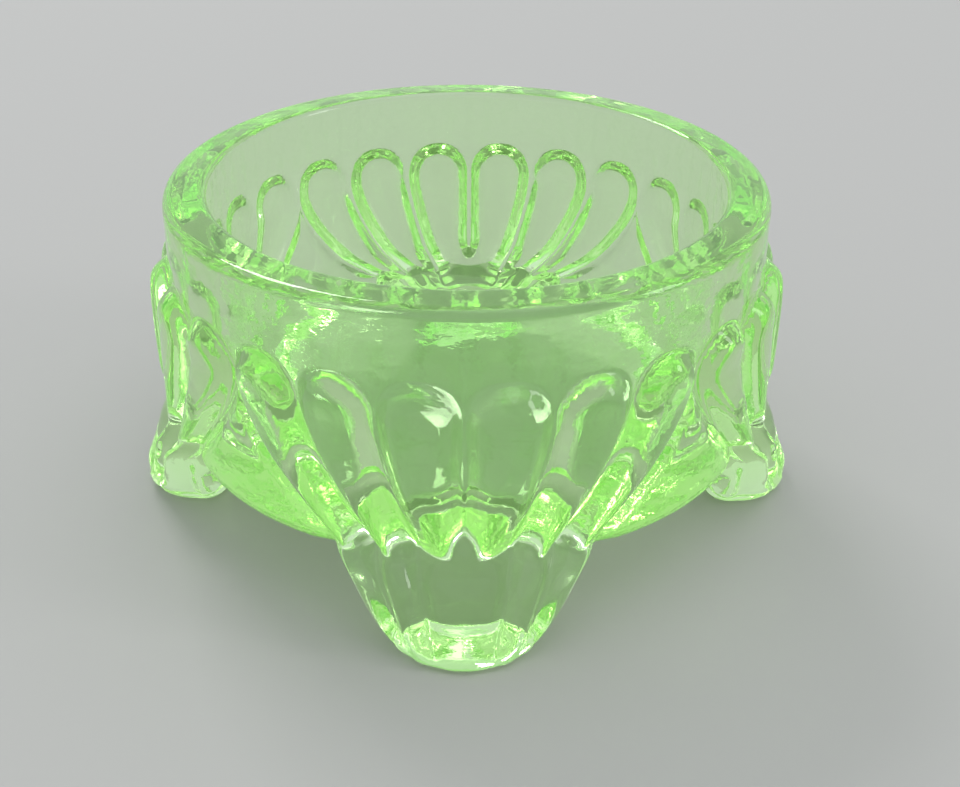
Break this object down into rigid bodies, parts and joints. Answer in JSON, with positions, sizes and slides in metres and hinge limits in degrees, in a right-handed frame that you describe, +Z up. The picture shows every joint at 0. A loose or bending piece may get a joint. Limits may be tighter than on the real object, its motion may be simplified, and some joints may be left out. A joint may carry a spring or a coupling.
{
  "type": "footed glass dish",
  "caption": "Small round pressed-glass dish in green uranium glass, with a rounded lip, a plain collar, a belt of petals and fluted feet.",
  "frame": {"origin": "on the bowl's axis, at the level of the soles that the dish stands on", "axes": "+Z up along the bowl's axis, one foot towards -Y, one towards +X, one towards +Y and one towards -X"},
  "size_m": [0.082, 0.082, 0.0404],
  "materials": {
    "uranium_glass": "fire-polished, clear, yellow-green"
  },
  "bodies": {
    "root": {"lip": "uranium_glass", "collar": "uranium_glass", "bowl_wall": "uranium_glass", "bowl_floor": "uranium_glass", "petals_front": "uranium_glass", "petals_right": "uranium_glass", "petals_back": "uranium_glass", "petals_left": "uranium_glass", "foot_front": "uranium_glass", "foot_right": "uranium_glass", "foot_rear": "uranium_glass", "foot_left": "uranium_glass"}
  },
  "joints": []
}
